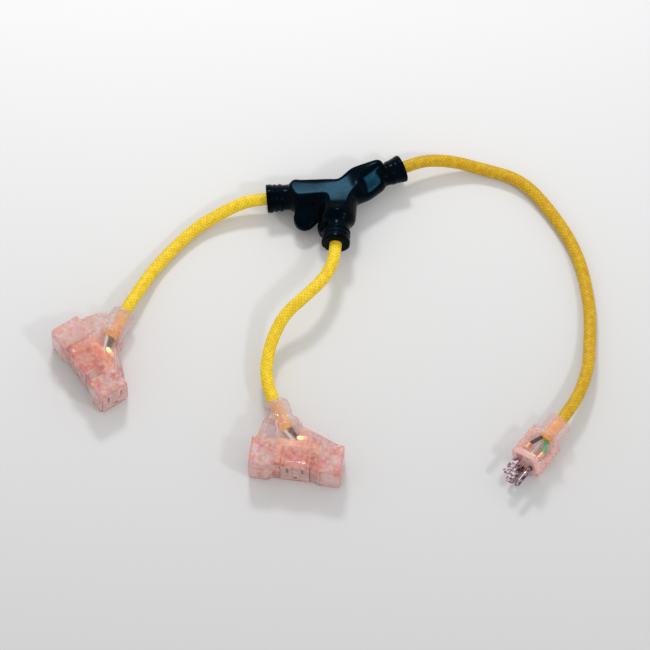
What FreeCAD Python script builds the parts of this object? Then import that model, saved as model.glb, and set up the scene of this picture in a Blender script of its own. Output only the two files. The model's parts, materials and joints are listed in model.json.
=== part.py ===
import FreeCAD, Part
import math
import os
import re
import Sketcher

Vector = FreeCAD.Vector
Placement = FreeCAD.Placement
Rotation = FreeCAD.Rotation

# Driving sizes in millimetres, and angles in degrees.
sizes = {
    # cord and its conductors
    "cordDiameter": 10.5,
    "wireDiameter": 3.2,
    "jacketFit": 0.1,
    "tapJacketLength": 27,
    "plugJacketLength": 22,
    # places on the floor, measured from the middle of the whole set
    "hubAcross": 25.8,
    "hubBack": 121.8,
    "hubRise": 17.6,
    "hubHeading": 24.5,
    "hubRoll": 7,
    "leftTapAcross": -156.7,
    "leftTapBack": 7.3,
    "leftTapHeading": -116,
    "frontTapAcross": -28.7,
    "frontTapBack": -79.2,
    "frontTapHeading": -67.5,
    "plugAcross": 209.5,
    "plugBack": -96,
    "plugRise": 15,
    "plugHeading": -128,
    "plugRoll": 108,
    # hub: one supply arm, two outlet arms and a blind lobe
    "hubArm": 63,
    "hubSupplyArm": 59,
    "hubFrontArm": 54,
    "hubLeftAngle": 159.5,
    "hubFrontAngle": -118.5,
    "hubBarrelRadius": 15.6,
    "hubShoulder": 1.8,
    "hubSupplyTaper": 15,
    "hubTaper": 3,
    "hubTaperRadius": 13,
    "hubSupplyTaperRadius": 12,
    "hubNeckLength": 20,
    "hubNeckRadius": 12.3,
    "hubSupplyNeckRadius": 10.7,
    "hubFlange": 5.4,
    "hubRidgeDepth": 1.4,
    "hubRidgePitch": 4.4,
    "hubDeckRise": 16.6,
    "hubDeckRound": 1.5,
    "hubDeckReach": 40,
    "hubDeckFrontReach": 21,
    "hubDeckTip": 10,
    "hubDeckLean": 6,
    "hubSaddle": 13.5,
    "hubLobeReach": 38.5,
    "hubLobeAngle": 193,
    "hubLobeRadius": 9.7,
    "hubStepReach": 36.5,
    "hubStepAngle": -136,
    "hubStepRadius": 6.5,
    "lobeTop": 2,
    "lobeBottom": 12,
    "lobeRound": 2.2,
    "dimpleRadius": 1.3,
    "dimpleDepth": 1,
    "chamberRadius": 10.6,
    "chamberHalf": 19,
    "throatRadius": 8.5,
    "throatSupply": 20,
    "throatLength": 24,
    "spliceRadius": 3.4,
    "spliceLength": 14,
    "splicePitch": 7,
    "spliceShift": 6,
    "wirePitch": 3.3,
    "wireGap": 1,
    # triple tap: boot, shoulder, cross bar and three outlets
    "tapHeight": 28,
    "tapRelief": 0.6,
    "tapBootLength": 18,
    "tapBootOffset": 15.7,
    "tapSlant": 30,
    "tapBootRadius": 10.8,
    "tapBootNeck": 9.4,
    "tapShoulder": 25.6,
    "tapShoulderRun": 7.4,
    "tapSpan": 78,
    "tapLength": 65,
    "tapOutletReach": 53,
    "tapEndWidth": 26.5,
    "tapEndStep": 2.6,
    "tapEndRun": 18,
    "tapCollar": 4,
    "tapEdge": 1,
    "tapNub": 2.4,
    "tapNubWidth": 7,
    "tapNubHeight": 12,
    "tapLip": 2.2,
    "chamberStart": 22,
    "chamberFloor": 3.5,
    "chamberSpare": 0,
    "chamberFront": 3,
    # outlet inserts
    "insertWidth": 24,
    "insertHeight": 23,
    "insertDepth": 20,
    "insertFit": 0.1,
    "bladePitch": 12.7,
    "groundDrop": 11.9,
    "slotRise": 4.2,
    "slotWidth": 2,
    "slotHeight": 8,
    "slotDepth": 5,
    "boreRadius": 2.6,
    "boreDepth": 12,
    "cellWidth": 4.4,
    "cellHeight": 9,
    "groundCellWidth": 7.2,
    "groundCellHeight": 6,
    # contact strips
    "stripMetal": 0.8,
    "stripRear": 38,
    "stripLeg": 6,
    "clipGap": 1.8,
    "clipHeight": 6.6,
    "stripSplit": 3.8,
    "clipSpare": 1,
    "groundClipGap": 4.9,
    "groundClipHeight": 4.8,
    "groundClipLift": 0.4,
    "tabWidth": 4.2,
    "groundTabHeight": 8,
    "wireSide": 2.6,
    "wireHigh": 2.2,
    "wireLow": 2.8,
    # indicator lamp
    "lampRadius": 2.1,
    "lampLength": 10.5,
    "lampStart": 34.5,
    "lampOffset": 7.5,
    "lampRise": 6.6,
    "leadDiameter": 0.8,
    "resistorRadius": 1.2,
    "resistorLength": 3,
    # plug
    "plugLength": 51,
    "plugBootLength": 18,
    "plugBootRadius": 11,
    "plugBootNeck": 9.8,
    "plugWidth": 27,
    "plugTop": 12,
    "plugBottom": 13.2,
    "plugRound": 6,
    "plugEdge": 1.6,
    "plugWall": 2.4,
    "gripPitch": 4,
    "gripWidth": 1.6,
    "gripDepth": 0.9,
    "gripCount": 4,
    "bladeRise": 4.2,
    "bladeThickness": 1.5,
    "bladeLength": 17.5,
    "bladeTail": 11,
    "hotBlade": 6.3,
    "neutralBlade": 7.9,
    "bladeHole": 3,
    "pinRadius": 2.38,
    "pinLength": 20.6,
    "pinNose": 2,
    "pinTail": 2.1,
    "bladeFit": 0.1,
    "crimpRadius": 2.2,
    "crimpLength": 6,
    "bridgeThickness": 5,
    "bridgeGap": 0.2,
}

doc = FreeCAD.newDocument("ExtensionCord")
sheet = doc.addObject("Spreadsheet::Sheet", "Sizes")
for row, (alias, number) in enumerate(sizes.items(), start=1):
    sheet.set(f"A{row}", alias)
    sheet.set(f"B{row}", str(number))
    sheet.setAlias(f"B{row}", alias)
doc.recompute()

nodes = []
forward = Vector(1, 0, 0)
backward = Vector(-1, 0, 0)


def size(alias):
    """Number that the sheet holds under an alias."""
    return float(sheet.get(alias))


def rule(text):
    """Sheet expression written with bare aliases, such as 'tapSpan / 2'."""
    return re.sub(r"\b[A-Za-z]\w*\b(?!\()", lambda word: f"Sizes.{word.group()}", text)


def worth(text):
    """Present value of a rule."""
    return float(sheet.evalExpression(rule(text)))


# Features

def newBody(label):
    body = doc.addObject("PartDesign::Body", label)
    body.Label = label
    nodes.append(body)
    return body


def sketchOn(body, role, name, offset="0"):
    """Sketch on one of the body's own origin planes, moved along its normal."""
    sketch = body.newObject("Sketcher::SketchObject", name)
    plane = next(item for item in body.Origin.OriginFeatures if item.Role == role)
    sketch.AttachmentSupport = [(plane, "")]
    sketch.MapMode = "FlatFace"
    sketch.AttachmentOffset = Placement(Vector(0, 0, worth(offset)), Rotation())
    sketch.setExpression(".AttachmentOffset.Base.z", rule(offset))
    return sketch


def bindPoint(sketch, geometry, end, across, up):
    for kind, text in (("DistanceX", across), ("DistanceY", up)):
        number = sketch.addConstraint(Sketcher.Constraint(kind, -1, 1, geometry, end, worth(text)))
        sketch.setExpression(f"Constraints[{number}]", rule(text))


def outline(sketch, corners):
    """Closed line work whose corners follow pairs of rules."""
    first = sketch.GeometryCount
    spots = [Vector(worth(across), worth(up), 0) for across, up in corners]
    count = len(corners)
    for index in range(count):
        sketch.addGeometry(Part.LineSegment(spots[index], spots[(index + 1) % count]))
    for index in range(count):
        following = first + (index + 1) % count
        sketch.addConstraint(Sketcher.Constraint("Coincident", first + index, 2, following, 1))
    for index, (across, up) in enumerate(corners):
        bindPoint(sketch, first + index, 1, across, up)


def rectangle(sketch, left, right, low, high):
    outline(sketch, [(left, low), (right, low), (right, high), (left, high)])


def circle(sketch, across, up, radius):
    centre = Vector(worth(across), worth(up), 0)
    geometry = sketch.addGeometry(Part.Circle(centre, Vector(0, 0, 1), worth(radius)))
    bindPoint(sketch, geometry, 3, across, up)
    number = sketch.addConstraint(Sketcher.Constraint("Radius", geometry, worth(radius)))
    sketch.setExpression(f"Constraints[{number}]", rule(radius))


def pad(body, sketch, name, length, reverse=False):
    feature = body.newObject("PartDesign::Pad", name)
    feature.Profile = sketch
    feature.setExpression("Length", rule(length))
    feature.Reversed = reverse
    return feature


def pocket(body, sketch, name, length, reverse=False):
    feature = body.newObject("PartDesign::Pocket", name)
    feature.Profile = sketch
    feature.setExpression("Length", rule(length))
    feature.Reversed = reverse
    return feature


def revolve(body, sketch, name):
    feature = body.newObject("PartDesign::Revolution", name)
    feature.Profile = sketch
    feature.ReferenceAxis = (sketch, ["H_Axis"])
    feature.Angle = 360
    return feature


def groove(body, sketch, name):
    feature = body.newObject("PartDesign::Groove", name)
    feature.Profile = sketch
    feature.ReferenceAxis = (sketch, ["H_Axis"])
    feature.Angle = 360
    return feature


def dressEdges(body, base, name, kind, amount, chosen):
    """Fillet or chamfer on the edges of the base feature for which chosen(edge) is true."""
    doc.recompute()
    edges = [f"Edge{number}" for number, edge in enumerate(base.Shape.Edges, start=1) if chosen(edge)]
    feature = body.newObject(f"PartDesign::{kind}", name)
    feature.Base = (base, edges)
    feature.setExpression("Radius" if kind == "Fillet" else "Size", rule(amount))
    return feature


def isLevel(edge):
    return edge.BoundBox.ZLength < 0.01


def solidNode(label, shape, frame=Placement()):
    """Node whose shape is worked out here from the sheet's sizes, then set in its frame."""
    feature = doc.addObject("Part::Feature", label)
    feature.Label = label
    feature.Shape = shape
    feature.Placement = frame.multiply(feature.Placement)
    nodes.append(feature)


# Routes

def roundedPath(points):
    """Straight runs joined by tangent arcs, each as large as its two runs allow."""
    edges = []
    radii = []
    start = points[0]
    for before, corner, after in zip(points, points[1:], points[2:]):
        toCorner = (corner - before).normalize()
        fromCorner = (after - corner).normalize()
        half = toCorner.getAngle(fromCorner) / 2
        reach = 0.45 * min((corner - before).Length, (after - corner).Length)
        radii.append(reach / math.tan(half))
        entry = corner - toCorner * reach
        leave = corner + fromCorner * reach
        bisector = (fromCorner - toCorner).normalize()
        middle = corner + bisector * (radii[-1] / math.cos(half) - radii[-1])
        edges.append(Part.LineSegment(start, entry).toShape())
        edges.append(Part.Arc(entry, middle, leave).toShape())
        start = leave
    edges.append(Part.LineSegment(start, points[-1]).toShape())
    return Part.Wire(edges), radii


def cordNode(label, points):
    """Cord tube swept along its route, with its figures printed."""
    diameter = size("cordDiameter")
    path, radii = roundedPath(points)
    ring = Part.Wire(Part.makeCircle(diameter / 2, points[0], points[1] - points[0]))
    tube = path.makePipeShell([ring], True, False)
    expected = math.pi * diameter ** 2 / 4 * path.Length
    print(f"{label}: length {path.Length:.1f}, tightest bend {min(radii):.1f},"
          f" radii {[round(radius) for radius in radii]}, volume ratio {tube.Volume / expected:.4f}")
    solidNode(label, tube)


def strand(diameter, start, startFace, end, endFace):
    """Straight wire cut flush with the two faces that it runs between.

    startFace and endFace are the outward normals of the wire's own ends.
    """
    along = (end - start).normalize()
    spare = 2 * diameter
    rod = Part.makeCylinder(diameter / 2, (end - start).Length + 2 * spare, start - along * spare, along)
    for spot, outward in ((start, startFace), (end, endFace)):
        rod = rod.cut(Part.makeCylinder(3 * diameter, 3 * diameter, spot, outward))
    return rod


# Frames of the four mouldings

def turned(degrees, axis=Vector(0, 0, 1)):
    return Rotation(axis, degrees)


hubFrame = Placement(
    Vector(size("hubAcross"), size("hubBack"), size("hubRise")),
    turned(size("hubHeading")).multiply(turned(-size("hubRoll"), Vector(1, 0, 0))))
leftTapFrame = Placement(
    Vector(size("leftTapAcross"), size("leftTapBack"), 0), turned(size("leftTapHeading")))
frontTapFrame = Placement(
    Vector(size("frontTapAcross"), size("frontTapBack"), 0), turned(size("frontTapHeading")))
plugFrame = Placement(
    Vector(size("plugAcross"), size("plugBack"), size("plugRise")),
    turned(size("plugHeading")).multiply(turned(size("plugRoll"), Vector(1, 0, 0))))


# Hub

hubArms = {
    "supply": (0, size("hubSupplyArm")),
    "left": (size("hubLeftAngle"), size("hubArm")),
    "front": (size("hubFrontAngle"), size("hubFrontArm")),
}


def spoke(degrees, reach, rise=0):
    angle = math.radians(degrees)
    return Vector(reach * math.cos(angle), reach * math.sin(angle), rise)


def neckCorners(length, rootRadius):
    """Profile of a ridged neck from its root to the flange at its mouth."""
    tip, depth, pitch = size("hubNeckRadius"), size("hubRidgeDepth"), size("hubRidgePitch")
    root, lip = length - size("hubNeckLength"), length - size("hubFlange")

    def crest(across):
        return rootRadius + (tip - rootRadius) * (across - root) / size("hubNeckLength")

    corners = [(root, crest(root) - depth)]
    for valley in (lip - 2 * pitch, lip - pitch):
        corners += [(valley, crest(valley) - depth), (valley + pitch / 2, crest(valley))]
    return corners + [(lip, crest(lip) - depth), (lip + depth / 2, crest(lip)), (length, tip), (length, 0)]


def hubArmSolid(name):
    """Barrel that narrows to a ridged neck, turned about its own axis."""
    length = hubArms[name][1]
    supply = name == "supply"
    taper = size("hubSupplyTaper") if supply else size("hubTaper")
    end = size("hubSupplyTaperRadius") if supply else size("hubTaperRadius")
    shoulder = size("hubShoulder")
    root = length - size("hubNeckLength")
    corners = neckCorners(length, size("hubSupplyNeckRadius") if supply else size("hubNeckRadius"))
    corners += [(0, 0), (0, size("hubBarrelRadius")), (root - shoulder - taper, size("hubBarrelRadius")),
                (root - shoulder, end)]
    spots = [Vector(across, 0, up) for across, up in corners]
    return Part.Face(Part.makePolygon(spots + spots[:1])).revolve(Vector(), Vector(1, 0, 0), 360)


def deckOutline(inset, rise):
    """Triangle with swept-in sides and rounded tips, leaning to the back of the arms."""
    lean, tip = size("hubDeckLean"), size("hubDeckTip") / 2 - inset
    corners = [
        (lean, size("hubDeckReach") - inset),
        (size("hubLeftAngle") - lean, size("hubDeckReach") - inset),
        (size("hubFrontAngle") + 360, size("hubDeckFrontReach") - inset),
    ]
    edges = []
    for index, (degrees, reach) in enumerate(corners):
        following, onward = corners[(index + 1) % len(corners)]
        right = spoke(degrees, reach, rise) - spoke(degrees + 90, tip)
        left = spoke(degrees, reach, rise) + spoke(degrees + 90, tip)
        target = spoke(following, onward, rise) - spoke(following + 90, tip)
        saddle = degrees + (following - degrees) % 360 / 2
        edges.append(Part.Arc(right, spoke(degrees, reach + tip * 0.6, rise), left).toShape())
        edges.append(Part.Arc(left, spoke(saddle, size("hubSaddle") - inset, rise), target).toShape())
    return Part.Wire(edges)


def hubDeck():
    """Raised flat deck with a sloping rim."""
    edge = size("hubDeckRound")
    rim = size("hubDeckRise") - edge
    wall = Part.Face(deckOutline(0, 0)).extrude(Vector(0, 0, rim))
    top = Part.makeLoft([deckOutline(0, rim), deckOutline(edge, rim + edge)], True, True)
    return wall.fuse(top)


def hubLobe(radius, reach, degrees):
    """Upright rounded lobe joined to the middle of the hub."""
    low, high, soft = -size("lobeBottom"), size("lobeTop"), size("lobeRound")
    post = Part.makeCylinder(radius, high - low, spoke(degrees, reach, low))
    post = post.makeChamfer(soft, [edge for edge in post.Edges if edge.BoundBox.ZLength < 0.01])
    link = Part.makeBox(reach, radius * 1.8, high - low - 2 * soft, Vector(0, -radius * 0.9, low + soft))
    link.rotate(Vector(), Vector(0, 0, 1), degrees)
    return post.fuse(link)


def hubHollows():
    """Splice chamber, wiring throats and the bores that hold the jacket ends."""
    half, bore = size("chamberHalf"), size("cordDiameter") / 2 + size("jacketFit")
    hollows = [Part.makeCylinder(size("chamberRadius"), 2 * half, Vector(-half, 0, 0), Vector(1, 0, 0))]
    for name, (degrees, length) in hubArms.items():
        hollows.append(Part.makeCylinder(size("throatRadius"), throat(name), Vector(), spoke(degrees, 1)))
        hollows.append(Part.makeCylinder(bore, length + 1, Vector(), spoke(degrees, 1)))
    return hollows


def throat(name):
    return size("throatSupply") if name == "supply" else size("throatLength")


def hubCover():
    """Black overmould: three barrels with ribbed necks, a deck on top and two blind lobes."""
    body = hubDeck()
    for name, (degrees, _) in hubArms.items():
        arm = hubArmSolid(name)
        arm.rotate(Vector(), Vector(0, 0, 1), degrees)
        body = body.fuse(arm)
    body = body.fuse(hubLobe(size("hubLobeRadius"), size("hubLobeReach"), size("hubLobeAngle")))
    body = body.fuse(hubLobe(size("hubStepRadius"), size("hubStepReach"), size("hubStepAngle")))
    for hollow in hubHollows():
        body = body.cut(hollow)
    inset = size("hubDeckReach") - 10
    for degrees, reach in ((size("hubLeftAngle") - size("hubDeckLean"), inset),
                           (size("hubDeckLean"), inset), (size("hubFrontAngle"), 11)):
        spot = spoke(degrees, reach, size("hubDeckRise") - size("dimpleDepth"))
        body = body.cut(Part.makeCylinder(size("dimpleRadius"), size("dimpleDepth") * 2, spot))
    return body.Solids[0]


def jacketSolid(start, finish):
    return Part.makeCylinder(size("cordDiameter") / 2, finish - start, Vector(start, 0, 0), Vector(1, 0, 0))


def makeHub():
    solidNode("hub_cover", hubCover(), hubFrame)
    for name, (degrees, length) in hubArms.items():
        jacket = jacketSolid(throat(name), length)
        jacket.rotate(Vector(), Vector(0, 0, 1), degrees)
        solidNode(f"hub_{name}_jacket_end", jacket, hubFrame)
    length, beside = size("spliceLength"), size("wireDiameter") / 2 + size("wireGap")
    rear = size("spliceShift") - length / 2
    mouths = {"supply": (rear + length, 0), "left": (rear, beside), "front": (rear, -beside)}
    for colour, level in (("hot", 1), ("neutral", 0), ("ground", -1)):
        rise = level * size("splicePitch")
        sleeve = Part.makeCylinder(size("spliceRadius"), length, Vector(rear, 0, rise), forward)
        solidNode(f"hub_{colour}_splice", sleeve, hubFrame)
        wires = []
        for name, (across, back) in mouths.items():
            degrees = hubArms[name][0]
            begin = spoke(degrees, throat(name), level * size("wirePitch"))
            inward = Vector(-math.copysign(1, across), 0, 0)
            wires.append(strand(size("wireDiameter"), begin, spoke(degrees, 1),
                                Vector(across, back, rise), inward))
        solidNode(f"hub_{colour}_wires", Part.makeCompound(wires), hubFrame)


# Triple taps

def tapBlockFrame(bootFrame):
    """Frame of the cross bar, which sits aslant and off centre behind its boot."""
    pivot = Vector(size("tapBootLength"), 0, 0)
    back = Vector(-size("tapBootLength"), size("tapBootOffset"), 0)
    slanted = bootFrame.multiply(Placement(pivot, turned(-size("tapSlant"))))
    return slanted.multiply(Placement(back, Rotation()))


def aslant(sketch):
    """Turns a sketch on the body's XZ plane so that it holds the boot's axis."""
    tilt, length = math.radians(size("tapSlant")), size("tapBootLength")
    shift = Vector(length - length * math.cos(tilt), size("tapHeight") / 2,
                   size("tapBootOffset") + length * math.sin(tilt))
    sketch.AttachmentOffset = Placement(shift, Rotation(Vector(0, 1, 0), size("tapSlant")))
    sketch.setExpression(".AttachmentOffset.Base.x", rule("tapBootLength * ( 1 - cos(tapSlant) )"))
    sketch.setExpression(".AttachmentOffset.Base.y", rule("tapHeight / 2"))
    sketch.setExpression(".AttachmentOffset.Base.z", rule("tapBootOffset + tapBootLength * sin(tapSlant)"))
    sketch.setExpression(".AttachmentOffset.Rotation.Angle", rule("tapSlant"))


def shoulders():
    """Corners of the block beside the boot, measured from the middle of the boot."""
    return [
        ("tapBootLength - 1", "tapBootNeck"),
        ("tapBootLength + 1", "tapShoulder / 2"),
        ("tapBootLength + tapShoulderRun", "tapShoulder / 2 + tapShoulderRun / 2"),
    ]


def tapOutline():
    """Half outline of the cross bar, seen from above."""
    rear = "tapOutletReach - tapEndWidth / 2"
    face = "tapSpan / 2"
    end = "tapLength + tapEndStep"
    return [
        (rear, face + " - tapCollar"),
        (rear, face),
        (end + " - tapCollar / 2", face),
        (end, face + " - tapCollar / 2"),
        (end, face + " - tapEndRun"),
        ("tapLength", face + " - tapEndRun - tapEndStep"),
    ]


def flipped(corners):
    return [(across, f"-( {up} )") for across, up in reversed(corners)]


def shifted(corners, text):
    return [(across, f"{up} {text}") for across, up in corners]


def tapCover(label, frame):
    """Clear cover: T-shaped block with three outlet collars and a flared boot."""
    body = newBody(label)
    base = sketchOn(body, "XY_Plane", f"{label}_plan", "tapRelief")
    boot = shoulders()
    outline(base, shifted(boot, "- tapBootOffset") + tapOutline() + flipped(tapOutline())
            + shifted(flipped(boot), "- tapBootOffset"))
    block = pad(body, base, f"{label}_block", "tapHeight - 2 * tapRelief")
    dressEdges(body, block, f"{label}_rims", "Chamfer", "tapEdge", isLevel)
    for side in (-1, 1):
        collar = sketchOn(body, "XZ_Plane", f"{label}_collar_plan", f"{-side} * tapSpan / 2")
        rectangle(collar, "tapOutletReach - tapEndWidth / 2 + 1", "tapOutletReach + tapEndWidth / 2 - 1",
                  "0", "tapHeight")
        pad(body, collar, f"{label}_collar", "tapCollar", reverse=side < 0)
    front = sketchOn(body, "YZ_Plane", f"{label}_front_plan", "tapLength")
    rectangle(front, "-tapEndWidth / 2 + 1", "tapEndWidth / 2 - 1", "0", "tapHeight")
    pad(body, front, f"{label}_front_collar", "tapCollar", reverse=True)
    tapNubs(body, label)
    profile = sketchOn(body, "XZ_Plane", f"{label}_boot_profile")
    outline(profile, [("0", "0"), ("0", "tapBootRadius - 1"), ("1", "tapBootRadius"),
                      ("tapBootLength / 2", "tapBootRadius"), ("tapBootLength", "tapBootNeck"),
                      ("tapBootLength + 5", "tapBootNeck"), ("tapBootLength + 5", "0")])
    aslant(profile)
    revolve(body, profile, f"{label}_boot")
    tapHollows(body, label)
    body.Placement = frame
    return body


def tapNubs(body, label):
    """Small nubs at both shoulders and a lip over the front outlet."""
    sketch = sketchOn(body, "XY_Plane", f"{label}_nub_plan", "( tapHeight - tapNubHeight ) / 2")
    reach = "tapBootLength + tapShoulderRun / 2"
    edge = "tapShoulder / 2 + tapShoulderRun / 4"
    corners = [(f"{reach} - tapNubWidth / 2", f"{edge} - 3"), (f"{reach} + tapNubWidth / 2", f"{edge} - 3"),
               (f"{reach} + tapNubWidth / 4", f"{edge} + tapNub"),
               (f"{reach} - tapNubWidth / 3", f"{edge} + tapNub - 1")]
    outline(sketch, shifted(corners, "- tapBootOffset"))
    outline(sketch, shifted(flipped(corners), "- tapBootOffset"))
    pad(body, sketch, f"{label}_nubs", "tapNubHeight")
    lip = sketchOn(body, "XY_Plane", f"{label}_lip_plan", "tapHeight")
    outline(lip, [("tapLength - 1", "-tapNubWidth / 2"), ("tapLength + tapNub", "-tapNubWidth / 3"),
                  ("tapLength + tapNub", "tapNubWidth / 3"), ("tapLength - 1", "tapNubWidth / 2")])
    pad(body, lip, f"{label}_lip", "tapLip", reverse=True)


def tapHollows(body, label):
    """Outlet pockets, the wiring chamber and the boot's bore."""
    low = "( tapHeight - insertHeight ) / 2 - insertFit"
    high = "( tapHeight + insertHeight ) / 2 + insertFit"
    half = "insertWidth / 2 + insertFit"
    for side in (-1, 1):
        seat = sketchOn(body, "XZ_Plane", f"{label}_seat_plan", f"{-side} * tapSpan / 2")
        rectangle(seat, f"tapOutletReach - ( {half} )", f"tapOutletReach + {half}", low, high)
        pocket(body, seat, f"{label}_seat", "insertDepth", reverse=side > 0)
    front = sketchOn(body, "YZ_Plane", f"{label}_front_seat_plan", "tapLength + tapNub + 1")
    rectangle(front, f"-( {half} )", half, low, high)
    pocket(body, front, f"{label}_front_seat", "insertDepth + tapNub + 1")
    chamber = sketchOn(body, "XY_Plane", f"{label}_chamber_plan", "chamberFloor")
    side = "tapSpan / 2 - insertDepth + chamberSpare"
    outline(chamber, [("chamberStart", "-tapBootOffset - 7"), ("stripRear - 6", f"-( {side} )"),
                      ("tapLength - chamberFront", f"-( {side} )"),
                      ("tapLength - chamberFront", side), ("stripRear", side),
                      ("chamberStart", "-tapBootOffset + 7")])
    pocket(body, chamber, f"{label}_chamber", "tapHeight - 2 * chamberFloor", reverse=True)
    bore = sketchOn(body, "XZ_Plane", f"{label}_bore_profile")
    rectangle(bore, "-1", "tapJacketLength + jacketFit", "0", "cordDiameter / 2 + jacketFit")
    aslant(bore)
    groove(body, bore, f"{label}_bore")


def outletInsert(label, frame):
    """Outlet face with two blade slots, a round ground bore and contact cells behind."""
    body = newBody(label)
    face = sketchOn(body, "XY_Plane", f"{label}_plan")
    rectangle(face, "-insertWidth / 2", "insertWidth / 2", "-insertHeight / 2", "insertHeight / 2")
    block = pad(body, face, f"{label}_block", "insertDepth", reverse=True)
    openings = sketchOn(body, "XY_Plane", f"{label}_slot_plan")
    for side in ("-", ""):
        centre = f"{side}bladePitch / 2"
        rectangle(openings, f"{centre} - slotWidth / 2", f"{centre} + slotWidth / 2",
                  "slotRise - slotHeight / 2", "slotRise + slotHeight / 2")
    pocket(body, openings, f"{label}_slots", "slotDepth")
    bore = sketchOn(body, "XY_Plane", f"{label}_bore_plan")
    circle(bore, "0", "slotRise - groundDrop", "boreRadius")
    pocket(body, bore, f"{label}_bore", "boreDepth")
    cells = sketchOn(body, "XY_Plane", f"{label}_cell_plan", "-insertDepth")
    for side in ("-", ""):
        centre = f"{side}bladePitch / 2"
        rectangle(cells, f"{centre} - cellWidth / 2", f"{centre} + cellWidth / 2",
                  "slotRise - cellHeight / 2", "slotRise + cellHeight / 2")
    pocket(body, cells, f"{label}_cells", "insertDepth - slotDepth", reverse=True)
    groundCell = sketchOn(body, "XY_Plane", f"{label}_ground_plan", "-insertDepth")
    middle = "slotRise - groundDrop"
    rectangle(groundCell, "-groundCellWidth / 2", "groundCellWidth / 2",
              f"{middle} - groundCellHeight / 2", f"{middle} + groundCellHeight / 2")
    pocket(body, groundCell, f"{label}_ground_cell", "insertDepth - boreDepth", reverse=True)
    body.Placement = frame
    return body


def outletFrames(frame):
    """Frame of each outlet face: its z points out of the face and its y up."""
    up = Vector(0, 0, 1)
    reach, half, middle = size("tapOutletReach"), size("tapSpan") / 2, size("tapHeight") / 2
    faces = {
        "front": (Vector(size("tapLength"), 0, middle), Vector(1, 0, 0)),
        "left": (Vector(reach, half, middle), Vector(0, 1, 0)),
        "right": (Vector(reach, -half, middle), Vector(0, -1, 0)),
    }
    frames = {}
    for name, (spot, outward) in faces.items():
        frames[name] = frame.multiply(Placement(spot, Rotation(up.cross(outward), up, outward, "ZYX")))
    return frames


def clip(centre, gap, depth, alongX):
    """Plan of one U-shaped contact: two leaves that reach from the back of the insert to a depth."""
    wide = f"( {gap} ) / 2 + stripMetal"
    narrow = f"( {gap} ) / 2"
    if alongX:
        root = "tapLength - insertDepth"
        rear, tip = f"{root} - stripMetal", f"tapLength - {depth} - clipSpare"
        return [(rear, f"{centre} - ( {wide} )"), (tip, f"{centre} - ( {wide} )"),
                (tip, f"{centre} - {narrow}"), (root, f"{centre} - {narrow}"),
                (root, f"{centre} + {narrow}"), (tip, f"{centre} + {narrow}"),
                (tip, f"{centre} + {wide}"), (rear, f"{centre} + {wide}")]
    root = "tapSpan / 2 - insertDepth"
    rear, tip = f"{root} - stripMetal", f"tapSpan / 2 - {depth} - clipSpare"
    return [(f"{centre} - ( {wide} )", rear), (f"{centre} + {wide}", rear),
            (f"{centre} + {wide}", tip), (f"{centre} + {narrow}", tip),
            (f"{centre} + {narrow}", root), (f"{centre} - {narrow}", root),
            (f"{centre} - {narrow}", tip), (f"{centre} - ( {wide} )", tip)]


def contactStrip(label, frame, side, level, gap, height, depth, downward):
    """Stamped strip with a clip behind each outlet and a tab for its wire.

    side is 1 for the strip that lies to the left of the front outlet, -1 for its mirror image
    and 0 for the ground strip on the middle line.
    """
    body = newBody(label)
    far = "tapSpan / 2 - insertDepth"
    near = f"{far} - stripLeg"
    offset = "bladePitch / 2" if side else "0"
    rear = "tapLength - insertDepth"
    longEnd = f"tapOutletReach + {offset} + ( {gap} ) / 2 + stripMetal"
    shortEnd = f"tapOutletReach - {offset} + ( {gap} ) / 2 + stripMetal"
    plan = [("stripRear", f"-( {far} )"), (longEnd, f"-( {far} )"), (longEnd, f"-( {near} )"),
            (rear, f"-( {near} )"), (rear, near), (shortEnd, near), (shortEnd, far), ("stripRear", far)]
    clips = [
        clip(offset, gap, depth, True),
        clip(f"tapOutletReach - {offset}", gap, depth, False),
        flipped(clip(f"tapOutletReach + {offset}", gap, depth, False)),
    ]
    middle = "wireSide" if side else "0"
    tabLow, tabHigh = f"{middle} - tabWidth / 2", f"{middle} + tabWidth / 2"
    tab = [("stripRear", tabLow), ("stripRear + stripMetal", tabLow),
           ("stripRear + stripMetal", tabHigh), ("stripRear", tabHigh)]
    if side < 0:
        plan = flipped(plan)
        clips = [flipped(corners) for corners in clips]
        tab = flipped(tab)
    strip = sketchOn(body, "XY_Plane", f"{label}_plan", level)
    outline(strip, plan)
    pad(body, strip, f"{label}_strip", "stripMetal", reverse=not downward)
    legs = sketchOn(body, "XY_Plane", f"{label}_clip_plan", level)
    for corners in clips:
        outline(legs, corners)
    pad(body, legs, f"{label}_clips", height, reverse=downward)
    root = sketchOn(body, "XY_Plane", f"{label}_tab_plan", level)
    outline(root, tab)
    pad(body, root, f"{label}_tab", height if side else "groundTabHeight", reverse=downward)
    body.Placement = frame
    return body


def conductors():
    """Where the three conductors leave a jacket end, seen along its axis."""
    return {
        "hot": Vector(0, size("wireSide"), size("wireHigh")),
        "neutral": Vector(0, -size("wireSide"), size("wireHigh")),
        "ground": Vector(0, 0, -size("wireLow")),
    }


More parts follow.
